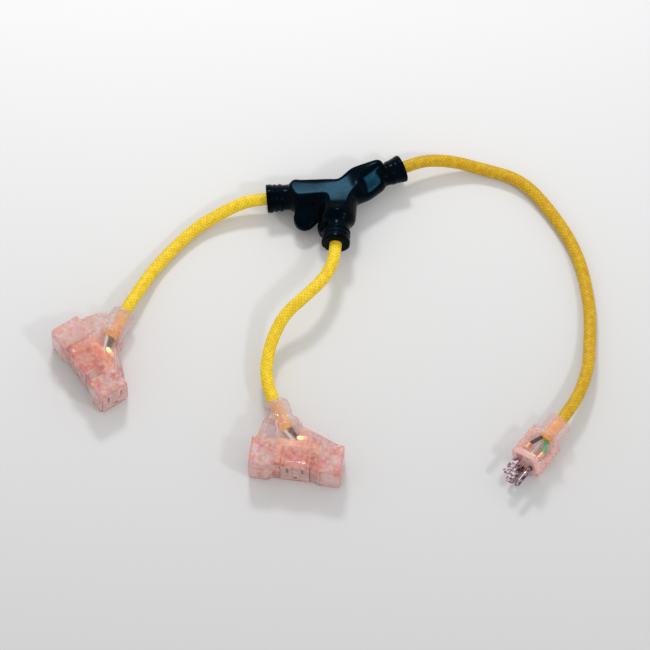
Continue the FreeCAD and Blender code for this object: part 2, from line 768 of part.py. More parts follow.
def makeTap(name, bootFrame):
    frame = tapBlockFrame(bootFrame)
    tapCover(f"{name}_tap_cover", frame)
    for outlet, place in outletFrames(frame).items():
        outletInsert(f"{name}_tap_{outlet}_outlet", place)
    middle = "tapHeight / 2 + slotRise"
    contactStrip(f"{name}_tap_hot_strip", frame, 1, f"{middle} + stripSplit",
                 "clipGap", "clipHeight", "slotDepth", True)
    contactStrip(f"{name}_tap_neutral_strip", frame, -1, f"{middle} - stripSplit",
                 "clipGap", "clipHeight", "slotDepth", False)
    groundLevel = f"{middle} - groundDrop - groundClipHeight / 2 + groundClipLift"
    contactStrip(f"{name}_tap_ground_strip", frame, 0, groundLevel,
                 "groundClipGap", "groundClipHeight", "boreDepth", False)
    axis = size("tapHeight") / 2
    jacket = jacketSolid(0, size("tapJacketLength"))
    jacket.translate(Vector(0, 0, axis))
    solidNode(f"{name}_tap_jacket_end", jacket, bootFrame)
    fromBoot = frame.inverse().multiply(bootFrame)
    inward = fromBoot.Rotation.multVec(backward)
    for colour, spot in conductors().items():
        begin = fromBoot.multVec(Vector(size("tapJacketLength"), 0, axis) + spot)
        wire = strand(size("wireDiameter"), begin, inward, Vector(size("stripRear"), 0, axis) + spot, forward)
        solidNode(f"{name}_tap_{colour}_wire", wire, frame)
    makeLamp(name, frame)


def makeLamp(name, frame):
    """Neon lamp that lies across the block, wired to the hot and neutral strips."""
    radius, length = size("lampRadius"), size("lampLength")
    back, side, rise = size("lampStart"), size("lampOffset"), size("tapHeight") / 2 + size("lampRise")
    middle = size("tapHeight") / 2 + size("slotRise")
    hotLevel = middle + size("stripSplit") + size("stripMetal") / 2
    neutralLevel = middle - size("stripSplit") - size("stripMetal") / 2
    inward = Vector(0, -1, 0)
    tube = Part.makeCylinder(radius, length - radius, Vector(back, side, rise), inward)
    tip = Part.makeCone(radius, radius / 4, radius, Vector(back, side - length + radius, rise), inward)
    solidNode(f"{name}_tap_lamp", tip.fuse(tube), frame)
    step, thin = radius * 0.55, size("leadDiameter")
    top, foot = Vector(back + step / 2, side, rise + step), Vector(size("stripRear"), side + 3, hotLevel)
    solidNode(f"{name}_tap_lamp_lead", strand(thin, top, inward, foot, forward), frame)
    top, foot = Vector(back + step / 2, side, rise - step), Vector(size("stripRear"), side + 4, neutralLevel)
    slope = (foot - top).normalize()
    bead = Part.makeCylinder(size("resistorRadius"), size("resistorLength"),
                             (top + foot) / 2 - slope * size("resistorLength") / 2, slope)
    solidNode(f"{name}_tap_lamp_resistor", strand(thin, top, inward, foot, forward).fuse(bead), frame)


# Plug

def plugCover():
    """Clear cover: boot, rounded body with finger grips, and a wiring chamber."""
    label = "plug_cover"
    body = newBody(label)
    section = sketchOn(body, "YZ_Plane", f"{label}_section", "plugBootLength")
    rectangle(section, "-plugWidth / 2", "plugWidth / 2", "-plugBottom", "plugTop")
    block = pad(body, section, f"{label}_block", "plugLength - plugBootLength")
    block = dressEdges(body, block, f"{label}_corners", "Fillet", "plugRound", isLengthwise)
    dressEdges(body, block, f"{label}_rims", "Chamfer", "plugEdge", isCrosswise)
    boot = sketchOn(body, "XZ_Plane", f"{label}_boot_profile")
    outline(boot, [("0", "0"), ("0", "plugBootRadius - 1"), ("1", "plugBootRadius"),
                   ("4", "plugBootRadius"), ("plugBootLength - 4", "plugBootNeck"),
                   ("plugBootLength + 1", "plugBootNeck"), ("plugBootLength + 1", "0")])
    revolve(body, boot, f"{label}_boot")
    gripGrooves(body, label)
    chamber = sketchOn(body, "YZ_Plane", f"{label}_chamber_plan", "plugBootLength + plugWall")
    rectangle(chamber, "-plugWidth / 2 + plugWall", "plugWidth / 2 - plugWall",
              "-plugBottom + plugWall", "plugTop - plugWall")
    pocket(body, chamber, f"{label}_chamber", "plugLength - plugBootLength - 2 * plugWall", reverse=True)
    bore = sketchOn(body, "YZ_Plane", f"{label}_bore_plan", "-1")
    circle(bore, "0", "0", "cordDiameter / 2 + jacketFit")
    pocket(body, bore, f"{label}_bore", "plugBootLength + plugWall + 2", reverse=True)
    mouths = sketchOn(body, "YZ_Plane", f"{label}_mouth_plan", "plugLength")
    for side, width in (("-", "neutralBlade"), ("", "hotBlade")):
        bladeOpening(mouths, side, width)
    circle(mouths, "0", "bladeRise - groundDrop", "pinRadius + bladeFit")
    pocket(body, mouths, f"{label}_mouths", "plugWall + 1")
    body.Placement = plugFrame


def bladeOpening(sketch, side, width):
    centre = f"{side}bladePitch / 2"
    across, up = "bladeThickness / 2 + bladeFit", f"{width} / 2 + bladeFit"
    rectangle(sketch, f"{centre} - ( {across} )", f"{centre} + {across}",
              f"bladeRise - ( {up} )", f"bladeRise + {up}")


def isLengthwise(edge):
    return edge.BoundBox.YLength < 0.01 and edge.BoundBox.ZLength < 0.01


def isCrosswise(edge):
    return edge.BoundBox.XLength < 0.01


def gripGrooves(body, label):
    """A row of finger grooves on each broad side."""
    plan = sketchOn(body, "XY_Plane", f"{label}_grip_plan", "-plugBottom / 2")
    for side in ("", "-"):
        inner, outer = f"{side}( plugWidth / 2 - gripDepth )", f"{side}( plugWidth / 2 + 1 )"
        corners = [("plugBootLength + 6", inner), ("plugBootLength + 6 + gripWidth", inner),
                   ("plugBootLength + 6 + gripWidth", outer), ("plugBootLength + 6", outer)]
        outline(plan, corners if side == "" else list(reversed(corners)))
    groove = pocket(body, plan, f"{label}_groove", "plugBottom / 2 + plugTop / 2", reverse=True)
    doc.recompute()
    row = body.newObject("PartDesign::LinearPattern", f"{label}_grooves")
    row.Originals = [groove]
    row.Direction = (plan, ["H_Axis"])
    row.setExpression("Length", rule("gripPitch * ( gripCount - 1 )"))
    row.setExpression("Occurrences", rule("gripCount"))
    body.Tip = row


def plugBlade(label, side, width):
    """Flat blade with a chamfered tip, a cross hole and a tail for its crimp."""
    body = newBody(label)
    centre = f"{side}bladePitch / 2"
    plan = sketchOn(body, "XZ_Plane", f"{label}_side", f"-( {centre} ) - bladeThickness / 2")
    tail, tip = "plugLength - bladeTail", "plugLength + bladeLength"
    low, high = f"bladeRise - {width} / 2", f"bladeRise + {width} / 2"
    outline(plan, [(tail, low), (f"{tip} - 1.5", low), (tip, f"{low} + 1.5"), (tip, f"{high} - 1.5"),
                   (f"{tip} - 1.5", high), (tail, high)])
    circle(plan, f"{tip} - 6", "bladeRise", "bladeHole / 2")
    pad(body, plan, f"{label}_blade", "bladeThickness")
    body.Placement = plugFrame


def groundPin():
    """Round ground pin with a bull nose."""
    body = newBody("plug_ground_pin")
    profile = sketchOn(body, "XZ_Plane", "plug_ground_pin_profile")
    profile.AttachmentOffset = Placement(Vector(0, worth("bladeRise - groundDrop"), 0), Rotation())
    profile.setExpression(".AttachmentOffset.Base.y", rule("bladeRise - groundDrop"))
    tail, tip = "plugLength - bladeTail", "plugLength + pinLength"
    outline(profile, [(tail, "0"), (tip, "0"), (tip, "pinRadius / 3"), (f"{tip} - pinNose", "pinRadius"),
                      ("plugLength", "pinRadius"), ("plugLength", "pinTail"), (tail, "pinTail")])
    revolve(body, profile, "plug_ground_pin_turned")
    body.Placement = plugFrame


def plugBridge():
    """Inner carrier plate that holds the two blades and the pin square."""
    label = "plug_blade_carrier"
    body = newBody(label)
    front = "plugLength - plugWall"
    plate = sketchOn(body, "YZ_Plane", f"{label}_plan", front)
    rectangle(plate, "-plugWidth / 2 + plugWall + bridgeGap", "plugWidth / 2 - plugWall - bridgeGap",
              "-plugBottom + plugWall + bridgeGap", "plugTop - plugWall - bridgeGap")
    pad(body, plate, f"{label}_plate", "bridgeThickness", reverse=True)
    holes = sketchOn(body, "YZ_Plane", f"{label}_holes", front)
    for side, width in (("-", "neutralBlade"), ("", "hotBlade")):
        bladeOpening(holes, side, width)
    circle(holes, "0", "bladeRise - groundDrop", "pinRadius + bladeFit")
    pocket(body, holes, f"{label}_openings", "bridgeThickness")
    body.Placement = plugFrame


def makePlug():
    plugCover()
    plugBridge()
    plugBlade("plug_hot_blade", "", "hotBlade")
    plugBlade("plug_neutral_blade", "-", "neutralBlade")
    groundPin()
    solidNode("plug_jacket_end", jacketSolid(0, size("plugJacketLength")), plugFrame)
    start = size("plugJacketLength")
    crimpRear = size("plugLength") - size("bladeTail") - size("crimpLength")
    half = size("bladePitch") / 2
    crimps = {
        "hot": Vector(crimpRear, half, size("bladeRise")),
        "neutral": Vector(crimpRear, -half, size("bladeRise")),
        "ground": Vector(crimpRear, 0, size("bladeRise") - size("groundDrop")),
    }
    for colour, spot in conductors().items():
        crimp = Part.makeCylinder(size("crimpRadius"), size("crimpLength"), crimps[colour], forward)
        solidNode(f"plug_{colour}_crimp", crimp, plugFrame)
        begin = Vector(start, 0, 0) + spot
        wire = strand(size("wireDiameter"), begin, backward, crimps[colour], forward)
        solidNode(f"plug_{colour}_wire", wire, plugFrame)


# Cords: points chosen along each cord as it lies, hub end first

def hubExit(name, lead):
    degrees, length = hubArms[name]
    return [hubFrame.multVec(spoke(degrees, length)), hubFrame.multVec(spoke(degrees, length + lead))]


def bootEntry(frame, rise, lead):
    return [frame.multVec(Vector(-lead, 0, rise)), frame.multVec(Vector(0, 0, rise))]


leftRoute = [(-59.8, 113.7, 13), (-79.3, 104.8, 8.6), (-100.1, 91.6, 6.2), (-130.6, 57.3, 5.4),
             (-142.6, 34.6, 10.5)]
frontRoute = [(17.5, 43.8, 26.3), (10.7, 31, 28.1), (-3.4, 15.1, 29.9), (-21.2, 0.5, 24.5),
              (-31.8, -18.9, 16.5), (-36.6, -41.4, 14.2), (-35.9, -57.1, 14)]
supplyRoute = [(104.2, 154.8, 16.2), (124.4, 155.8, 11.8), (146.6, 152.3, 5.9), (182.3, 140.9, 6.8),
               (209.1, 106.7, 5.4), (229.2, 68.1, 5.5), (237.8, 19.3, 5.5), (236.4, -18.7, 6),
               (234.1, -47.4, 11)]


def makeCords():
    axis = size("tapHeight") / 2
    routes = {
        "left_cord": hubExit("left", 10) + [Vector(*spot) for spot in leftRoute]
        + bootEntry(leftTapFrame, axis, 11.4),
        "front_cord": hubExit("front", 12.2) + [Vector(*spot) for spot in frontRoute]
        + bootEntry(frontTapFrame, axis, 11.6),
        "supply_cord": hubExit("supply", 12.2) + [Vector(*spot) for spot in supplyRoute]
        + bootEntry(plugFrame, 0, 20.4),
    }
    for label, points in routes.items():
        print(label, [tuple(round(value, 1) for value in point) for point in points])
        cordNode(label, points)


makeHub()
makeTap("left", leftTapFrame)
makeTap("front", frontTapFrame)
makePlug()
makeCords()
doc.recompute()

for item in doc.Objects:
    if "Invalid" in item.State or "Error" in item.State:
        raise RuntimeError(f"{item.Label} failed: {item.State}")
for node in nodes:
    if node.Shape.isNull() or not node.Shape.isValid():
        raise RuntimeError(f"{node.Label} has no valid shape")

os.makedirs("parts", exist_ok=True)
for node in nodes:
    node.Shape.exportStep(f"parts/{node.Label}.step")
print(f"{len(nodes)} nodes")
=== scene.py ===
import bpy, bmesh, json, math
from mathutils import Matrix, Vector


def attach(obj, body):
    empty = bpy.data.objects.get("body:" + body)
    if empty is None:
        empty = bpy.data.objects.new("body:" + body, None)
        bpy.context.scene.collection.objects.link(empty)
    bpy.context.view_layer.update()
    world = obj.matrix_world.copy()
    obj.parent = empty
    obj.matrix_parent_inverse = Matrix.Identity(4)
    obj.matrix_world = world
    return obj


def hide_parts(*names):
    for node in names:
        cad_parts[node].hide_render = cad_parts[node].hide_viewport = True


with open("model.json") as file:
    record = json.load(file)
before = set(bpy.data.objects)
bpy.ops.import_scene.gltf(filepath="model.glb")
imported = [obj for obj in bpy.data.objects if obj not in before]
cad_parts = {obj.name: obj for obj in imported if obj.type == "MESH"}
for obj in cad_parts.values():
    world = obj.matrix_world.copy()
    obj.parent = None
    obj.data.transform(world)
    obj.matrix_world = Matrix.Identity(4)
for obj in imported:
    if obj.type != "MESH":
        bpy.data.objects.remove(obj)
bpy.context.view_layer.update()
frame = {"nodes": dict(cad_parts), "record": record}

mm = 0.001
slots = {part["node"]: part["material_slot"] for part in frame["record"]["subparts"]}


def newPiece(name, data, material=None):
    piece = bpy.data.objects.new(name, data)
    bpy.context.scene.collection.objects.link(piece)
    if material:
        data.materials.append(material)
    return piece


def aimAtFloor(piece, back):
    piece.rotation_mode = "QUATERNION"
    piece.rotation_quaternion = (-Vector(back)).to_track_quat("-Z", "Y")


# 0 up to low, 1 from high on, smooth in between
def share(value, low, high):
    part = min(max((value - low) / (high - low), 0), 1)
    return part * part * (3 - 2 * part)


def newMaterial(name):
    material = bpy.data.materials.new(name)
    material.use_nodes = True
    tree = material.node_tree
    return material, tree, tree.nodes["Principled BSDF"]


def feed(tree, socket, value):
    if isinstance(value, bpy.types.NodeSocket):
        tree.links.new(value, socket)
    else:
        socket.default_value = value


def addNode(tree, kind, settings=None, **inputs):
    node = tree.nodes.new(kind)
    for key, value in (settings or {}).items():
        setattr(node, key, value)
    for key, value in inputs.items():
        feed(tree, node.inputs[key.replace("_", " ")], value)
    return node


def mathNode(tree, operation, *values):
    node = addNode(tree, "ShaderNodeMath", {"operation": operation})
    for socket, value in zip(node.inputs, values):
        feed(tree, socket, value)
    return node.outputs[0]


# a mix node's sockets 0, 6 and 7 are its factor and its two colours
def mixColour(tree, factor, first, second, blend="MIX"):
    node = addNode(tree, "ShaderNodeMix", {"data_type": "RGBA", "blend_type": blend})
    for index, value in ((0, factor), (6, first), (7, second)):
        feed(tree, node.inputs[index], value)
    return node.outputs[2]


def stretch(tree, value, low, high, toLow=0.0, toHigh=1.0):
    node = addNode(tree, "ShaderNodeMapRange", Value=value, From_Min=low, From_Max=high,
                   To_Min=toLow, To_Max=toHigh)
    return node.outputs["Result"]


def coordsOf(tree, kind="Object"):
    return addNode(tree, "ShaderNodeTexCoord").outputs[kind]


def maskOf(tree, label):
    return addNode(tree, "ShaderNodeAttribute", {"attribute_name": label}).outputs["Fac"]


def newGroup(name, inputs, outputs):
    group = bpy.data.node_groups.new(name, "ShaderNodeTree")
    for side, sockets in (("INPUT", inputs), ("OUTPUT", outputs)):
        for label, kind in sockets.items():
            group.interface.new_socket(label, in_out=side, socket_type="NodeSocket" + kind)
    return group, group.nodes.new("NodeGroupInput"), group.nodes.new("NodeGroupOutput")


def placeGroup(tree, group, **inputs):
    return addNode(tree, "ShaderNodeGroup", {"node_tree": group}, **inputs)


# slow colour patches, fine moulded grain and uneven gloss
mottleLook = {"patchRange": (0.35, 0.65), "patchDetail": 3, "grainRange": (0.3, 0.7),
              "grainDetail": 2}


def makeMottle():
    group, start, end = newGroup(
        "mouldedMottle",
        {"Light": "Color", "Dark": "Color", "Patch": "Float", "Grain": "Float", "Smooth": "Float",
         "Rough": "Float"},
        {"Color": "Color", "Roughness": "Float", "Height": "Float"})
    coords = coordsOf(group)
    patches = addNode(group, "ShaderNodeTexNoise", Vector=coords, Scale=start.outputs["Patch"],
                      Detail=mottleLook["patchDetail"])
    grain = addNode(group, "ShaderNodeTexNoise", Vector=coords, Scale=start.outputs["Grain"],
                    Detail=mottleLook["grainDetail"])
    spread = stretch(group, patches.outputs["Fac"], *mottleLook["patchRange"])
    colour = mixColour(group, spread, start.outputs["Dark"], start.outputs["Light"])
    gloss = stretch(group, grain.outputs["Fac"], *mottleLook["grainRange"],
                    start.outputs["Smooth"], start.outputs["Rough"])
    group.links.new(colour, end.inputs["Color"])
    group.links.new(gloss, end.inputs["Roughness"])
    group.links.new(grain.outputs["Fac"], end.inputs["Height"])
    return group


# two sets of strands crossing round a cord, on its own map in metres
def makeBraid():
    group, start, end = newGroup(
        "jacketBraid", {"Pitch": "Float", "Round": "Float", "Strands": "Float"},
        {"Height": "Float"})
    split = addNode(group, "ShaderNodeSeparateXYZ", Vector=coordsOf(group, "UV"))
    along = mathNode(group, "DIVIDE", split.outputs["X"], start.outputs["Pitch"])
    turn = mathNode(group, "DIVIDE", split.outputs["Y"], start.outputs["Round"])
    around = mathNode(group, "MULTIPLY", turn, start.outputs["Strands"])
    waves = []
    for operation in ("ADD", "SUBTRACT"):
        phase = mathNode(group, operation, along, around)
        waves.append(mathNode(group, "SINE", mathNode(group, "MULTIPLY", phase, 2 * math.pi)))
    height = mathNode(group, "MAXIMUM", *waves)
    group.links.new(stretch(group, height, -1, 1), end.inputs["Height"])
    return group


# pale flecks that are painted glints and refraction patches of the clear tinted plastic, random
# hues, and edges painted a deeper red as painted shade
tintLook = {"glintRange": (0.48, 0.64), "glintDetail": 4, "hueScale": 0.7, "hueDetail": 2,
            "edgeRange": (0.5, 0.56)}


def makeTint():
    group, start, end = newGroup(
        "clearTint",
        {"Base": "Color", "Fleck": "Color", "Edge Color": "Color", "Edge": "Float", "Wear": "Float",
         "Scale": "Float", "Amount": "Float", "Hues": "Float"},
        {"Color": "Color"})
    coords = coordsOf(group)
    # painted glints: pale flecks standing in for glints and refraction patches in the clear plastic
    glintNoise = addNode(group, "ShaderNodeTexNoise", Vector=coords, Scale=start.outputs["Scale"],
                    Detail=tintLook["glintDetail"])
    glints = stretch(group, glintNoise.outputs["Fac"], *tintLook["glintRange"])
    glint = mathNode(group, "MULTIPLY", glints, start.outputs["Amount"])
    hues = addNode(group, "ShaderNodeTexNoise", Vector=coords, Detail=tintLook["hueDetail"],
                   Scale=mathNode(group, "MULTIPLY", start.outputs["Scale"], tintLook["hueScale"]))
    colour = mixColour(group, glint, start.outputs["Base"], start.outputs["Fleck"])
    colour = mixColour(group, start.outputs["Hues"], colour, hues.outputs["Color"], "OVERLAY")
    # painted shade: convex edges turn a deeper red, for the thicker plastic that light passes
    # through there
    edgeShaded = stretch(group, start.outputs["Edge"], *tintLook["edgeRange"], 0.0, start.outputs["Wear"])
    colour = mixColour(group, edgeShaded, colour, start.outputs["Edge Color"])
    group.links.new(colour, end.inputs["Color"])
    return group


mottle = makeMottle()
braid = makeBraid()
tint = makeTint()


def relief(tree, shader, height, depth):
    bump = addNode(tree, "ShaderNodeBump", Strength=1.0, Distance=depth * mm, Height=height)
    feed(tree, shader.inputs["Normal"], bump.outputs["Normal"])


def mottled(name, light, dark, patch=120.0, grain=1500.0, gloss=(0.3, 0.5), depth=0.02):
    material, tree, shader = newMaterial(name)
    look = placeGroup(tree, mottle, Light=(*light, 1), Dark=(*dark, 1), Patch=patch, Grain=grain,
                      Smooth=gloss[0], Rough=gloss[1])
    feed(tree, shader.inputs["Base Color"], look.outputs["Color"])
    feed(tree, shader.inputs["Roughness"], look.outputs["Roughness"])
    if depth:
        relief(tree, shader, look.outputs["Height"], depth)
    return material, tree, shader, look


def plain(name, light, dark):
    return mottled(name, light, dark)[0]


metalLook = {"patch": 400, "grain": 2500}


def metal(name, light, dark, gloss):
    material, _, shader, _ = mottled(name, light, dark, gloss=gloss, **metalLook)
    shader.inputs["Metallic"].default_value = 1
    return material


# clear tinted plastic; the masks "boot", "window" and "warm" are on the skins only
clearLook = {"ior": 1.45, "facing": 0.35, "bootLight": (1, 1, 1), "bootPale": 0, "bootAlpha": 1,
             "windowAlpha": 1, "warmLight": (1, 1, 1), "redden": 0}
coverLook = {**clearLook,
             "light": (1.0, 0.79, 0.71), "dark": (0.98, 0.33, 0.24), "edge": (0.80, 0.10, 0.06),
             "glint": (0.95, 0.95, 1.0), "glintScale": 300.0, "glintAmount": 1.0, "hues": 1.0,
             "patch": 90.0, "gloss": (0.02, 0.10), "depth": 0.35, "ripple": 260.0,
             "transmission": 0.35, "seeThrough": 0.36, "rim": 0.85, "edgeShade": 0.8,
             "bootLight": (0.70, 0.58, 0.64), "bootPale": 0.8, "bootAlpha": 0.95,
             "windowAlpha": 0.3, "warmLight": (1.0, 0.60, 0.50), "redden": 0.7}
outletLook = {**clearLook,
              "light": (1.0, 0.84, 0.80), "dark": (0.98, 0.45, 0.37), "edge": (0.85, 0.16, 0.10),
              "glint": (0.95, 0.92, 0.98), "glintScale": 450.0, "glintAmount": 0.9, "hues": 0.8,
              "patch": 260.0, "gloss": (0.06, 0.18), "depth": 0.12, "ripple": 400.0,
              "transmission": 0.2, "seeThrough": 0.42, "rim": 0.8, "edgeShade": 0.1}
plugLook = {**clearLook,
            "light": (1.0, 0.66, 0.58), "dark": (0.90, 0.34, 0.25), "edge": (0.70, 0.10, 0.06),
            "glint": (0.90, 0.84, 0.92), "glintScale": 520.0, "glintAmount": 0.7, "hues": 0.7,
            "patch": 260.0, "gloss": (0.02, 0.10), "depth": 0.15, "ripple": 300.0,
            "transmission": 0.35, "seeThrough": 0.3, "rim": 0.85, "edgeShade": 0.8,
            "bootLight": (0.84, 0.60, 0.60), "bootPale": 0.5, "bootAlpha": 0.8, "windowAlpha": 0.1}


def clear(name, facts):
    material, tree, shader, look = mottled(name, facts["light"], facts["dark"], facts["patch"],
                                           facts["ripple"], facts["gloss"], facts["depth"])
    # pointiness drives the painted shade on the edges
    edge = addNode(tree, "ShaderNodeNewGeometry").outputs["Pointiness"]
    tinted = placeGroup(tree, tint, Base=look.outputs["Color"], Fleck=(*facts["glint"], 1),
                        Edge_Color=(*facts["edge"], 1), Edge=edge, Wear=facts["edgeShade"],
                        Scale=facts["glintScale"], Amount=facts["glintAmount"], Hues=facts["hues"])
    boot, window, warm = [maskOf(tree, label) for label in ("boot", "window", "warm")]
    redder = stretch(tree, warm, 0, 1, 0, facts["redden"])
    colour = mixColour(tree, redder, tinted.outputs["Color"], (*facts["warmLight"], 1), "MULTIPLY")
    pale = stretch(tree, boot, 0, 1, 0, facts["bootPale"])
    feed(tree, shader.inputs["Base Color"], mixColour(tree, pale, colour, (*facts["bootLight"], 1)))
    facing = addNode(tree, "ShaderNodeLayerWeight", Blend=facts["facing"]).outputs["Facing"]
    alpha = stretch(tree, facing, 0, 1, facts["seeThrough"], facts["rim"])
    for mask, left in ((boot, facts["bootAlpha"]), (window, facts["windowAlpha"])):
        alpha = mathNode(tree, "MULTIPLY", alpha, stretch(tree, mask, 0, 1, 1, left))
    feed(tree, shader.inputs["Alpha"], alpha)
    shader.inputs["Transmission Weight"].default_value = facts["transmission"]
    shader.inputs["IOR"].default_value = facts["ior"]
    return material


# glossy black with slow waves in its surface
hubLook = {"light": (0.0012, 0.0022, 0.0035), "dark": (0.0006, 0.0006, 0.0008), "patch": 60,
           "grain": 900, "gloss": (0.15, 0.23), "depth": 0.015, "specular": 0.06,
           "tint": (0.10, 0.58, 1.0, 1), "waveScale": 42, "waveDetail": 0, "waves": 60}


def hubBlack(facts):
    material, tree, shader, look = mottled("glossBlack", facts["light"], facts["dark"],
                                           facts["patch"], facts["grain"], facts["gloss"], depth=0)
    shader.inputs["Specular IOR Level"].default_value = facts["specular"]
    shader.inputs["Specular Tint"].default_value = facts["tint"]
    waves = addNode(tree, "ShaderNodeTexNoise", Vector=coordsOf(tree), Scale=facts["waveScale"],
                    Detail=facts["waveDetail"])
    both = mathNode(tree, "ADD", mathNode(tree, "MULTIPLY", waves.outputs["Fac"], facts["waves"]),
                    look.outputs["Height"])
    relief(tree, shader, both, facts["depth"])
    return material


# satin yellow jacket with a faint crossed weave, its grooves painted darker as painted shade; the
# supply cord's is the same yellow painted deeper, as painted shade
cordSize = {"diameter": 10.5, "sides": 24, "steps": 12}
cordLook = {"patch": 260, "grain": 1800, "gloss": (0.38, 0.55), "specular": 0.3,
            "pitch": 3.2 * mm, "strands": 8.0, "gapRange": (0.2, 0.9), "gapMost": 0.6,
            "grainShare": 0.3, "depth": 0.14}
cordTones = {"branch": {"light": (0.96, 0.71, 0.026), "dark": (0.78, 0.52, 0.01),
                        "gap": (0.60, 0.35, 0.006)},
             # the supply cord's tones are the branch yellow painted darker: painted shade for its
             # less lit run
             "supply": {"light": (0.70, 0.45, 0.004), "dark": (0.55, 0.31, 0.001),
                        "gap": (0.42, 0.2, 0.001)}}


def cordYellow(name, tones, facts):
    material, tree, shader, look = mottled(name, tones["light"], tones["dark"],
                                           facts["patch"], facts["grain"], facts["gloss"], depth=0)
    shader.inputs["Specular IOR Level"].default_value = facts["specular"]
    weave = placeGroup(tree, braid, Pitch=facts["pitch"], Strands=facts["strands"],
                       Round=math.pi * cordSize["diameter"] * mm)
    # painted shade: the jacket's colour turns darker in the weave's low grooves
    low = stretch(tree, weave.outputs["Height"], *facts["gapRange"], facts["gapMost"], 0.0)
    feed(tree, shader.inputs["Base Color"],
         mixColour(tree, low, look.outputs["Color"], (*tones["gap"], 1)))
    both = mathNode(tree, "ADD", weave.outputs["Height"],
                    mathNode(tree, "MULTIPLY", look.outputs["Height"], facts["grainShare"]))
    relief(tree, shader, both, facts["depth"])
    return material


# lit neon lamp; the mask "glow" is 1 at its bright end
lampLook = {"light": (1.0, 0.86, 0.34), "dark": (1.0, 0.66, 0.12), "patch": 900,
            "gloss": (0.03, 0.1), "dim": (0.30, 0.09, 0.03), "strength": 2.0}


def lampGlow(facts):
    material, tree, shader, look = mottled("lampGlass", facts["light"], facts["dark"],
                                           facts["patch"], gloss=facts["gloss"])
    feed(tree, shader.inputs["Emission Color"],
         mixColour(tree, maskOf(tree, "glow"), (*facts["dim"], 1), look.outputs["Color"]))
    shader.inputs["Emission Strength"].default_value = facts["strength"]
    return material


materials = {
    "clear_cover": clear("salmonClear", coverLook),
    "plug_clear": clear("plugClear", plugLook),
    "outlet_face": clear("outletClear", outletLook),
    "hub_black": hubBlack(hubLook),
    "cord_yellow": cordYellow("yellowJacket", cordTones["branch"], cordLook),
    "cord_supply": cordYellow("shadedYellowJacket", cordTones["supply"], cordLook),
    "jacket_orange": plain("orangeJacket", (0.93, 0.50, 0.04), (0.84, 0.36, 0.02)),
    "wire_black": plain("blackWire", (0.015, 0.015, 0.015), (0.006, 0.006, 0.006)),
    "wire_white": plain("whiteWire", (0.85, 0.84, 0.8), (0.72, 0.7, 0.65)),
    "wire_green": plain("greenWire", (0.01, 0.5, 0.18), (0.005, 0.33, 0.1)),
    "contact_brass": metal("brass", (0.66, 0.36, 0.20), (0.42, 0.19, 0.10), (0.2, 0.4)),
    "blade_metal": metal("nickel", (0.50, 0.39, 0.43), (0.06, 0.018, 0.026), (0.12, 0.3)),
    "crimp_copper": metal("copper", (0.88, 0.48, 0.28), (0.66, 0.3, 0.15), (0.2, 0.4)),
    "carrier_white": plain("carrierPlastic", (0.9, 0.74, 0.68), (0.8, 0.62, 0.56)),
    "lamp_glass": lampGlow(lampLook),
    "lead_metal": metal("tinned", (0.7, 0.7, 0.7), (0.5, 0.5, 0.5), (0.3, 0.5)),
    "resistor_tan": plain("resistorTan", (0.7, 0.4, 0.15), (0.6, 0.3, 0.1)),
}
print("materials made:", len(materials))

# long lens, looking down at the floor; the target is in millimetres
camera = {"elevation": 62, "distance": 4.5, "target": (12.9, 3.2, 0), "pixelsPerMm": 1.18,
          "pixels": 650, "sensor": 36, "farthest": 100}


def makeCamera():
    data = bpy.data.cameras.new("camera")
    piece = newPiece("camera", data)
    rise = math.radians(camera["elevation"])
    back = Vector((0, -math.cos(rise), math.sin(rise)))
    width = camera["pixels"] / camera["pixelsPerMm"] * mm
    data.sensor_width = camera["sensor"]
    data.lens = camera["sensor"] * camera["distance"] / width
    data.clip_end = camera["farthest"]
    piece.location = Vector(camera["target"]) * mm + back * camera["distance"]
    aimAtFloor(piece, back)
    bpy.context.scene.camera = piece


makeCamera()
print("camera set")

for node, slot in slots.items():
    for item in frame["nodes"][node].material_slots:
        item.material = materials[slot]
print("inner parts dressed")

# cords: the ends and bends of their middle lines in millimetres, hub end first
cords = {
    "left_cord": {
        "points": [(-37.0, 117.3, 14.9), (-46.9, 116.5, 14.5), (-59.8, 113.7, 13.0),
                   (-79.3, 104.8, 8.6), (-100.1, 91.6, 6.2), (-130.6, 57.3, 5.4),
                   (-142.6, 34.6, 10.5), (-151.7, 17.5, 14.0), (-156.7, 7.3, 14.0)],
        "length": 172.5, "farEnd": "connector", "tone": "cord_yellow", "onIt": "left_tap_",
        "skins": ("leftTapSkin", "leftLampGlass")},
    "front_cord": {
        "points": [(21.9, 68.3, 23.4), (21.0, 56.2, 24.7), (17.5, 43.8, 26.3), (10.7, 31.0, 28.1),
                   (-3.4, 15.1, 29.9), (-21.2, 0.5, 24.5), (-31.8, -18.9, 16.5),
                   (-36.6, -41.4, 14.2), (-35.9, -57.1, 14.0), (-33.1, -68.5, 14.0),
                   (-28.7, -79.2, 14.0)],
        "length": 169.4, "farEnd": "connector", "tone": "cord_yellow", "onIt": "front_tap_",
        "skins": ("frontTapSkin", "frontLampGlass")},
    "supply_cord": {
        "points": [(79.5, 146.3, 17.6), (90.6, 151.3, 17.6), (104.2, 154.8, 16.2),
                   (124.4, 155.8, 11.8), (146.6, 152.3, 5.9), (182.3, 140.9, 6.8),
                   (209.1, 106.7, 5.4), (229.2, 68.1, 5.5), (237.8, 19.3, 5.5),
                   (236.4, -18.7, 6.0), (234.1, -47.4, 11.0), (222.1, -79.9, 15.0),
                   (209.5, -96.0, 15.0)],
        "length": 364.5, "farEnd": "plug", "tone": "cord_supply", "onIt": "plug_",
        "skins": ("plugSkin",)},
}
cordStart = {node: facts["points"][0] for node, facts in cords.items()}
cordEnd = {node: facts["points"][-1] for node, facts in cords.items()}


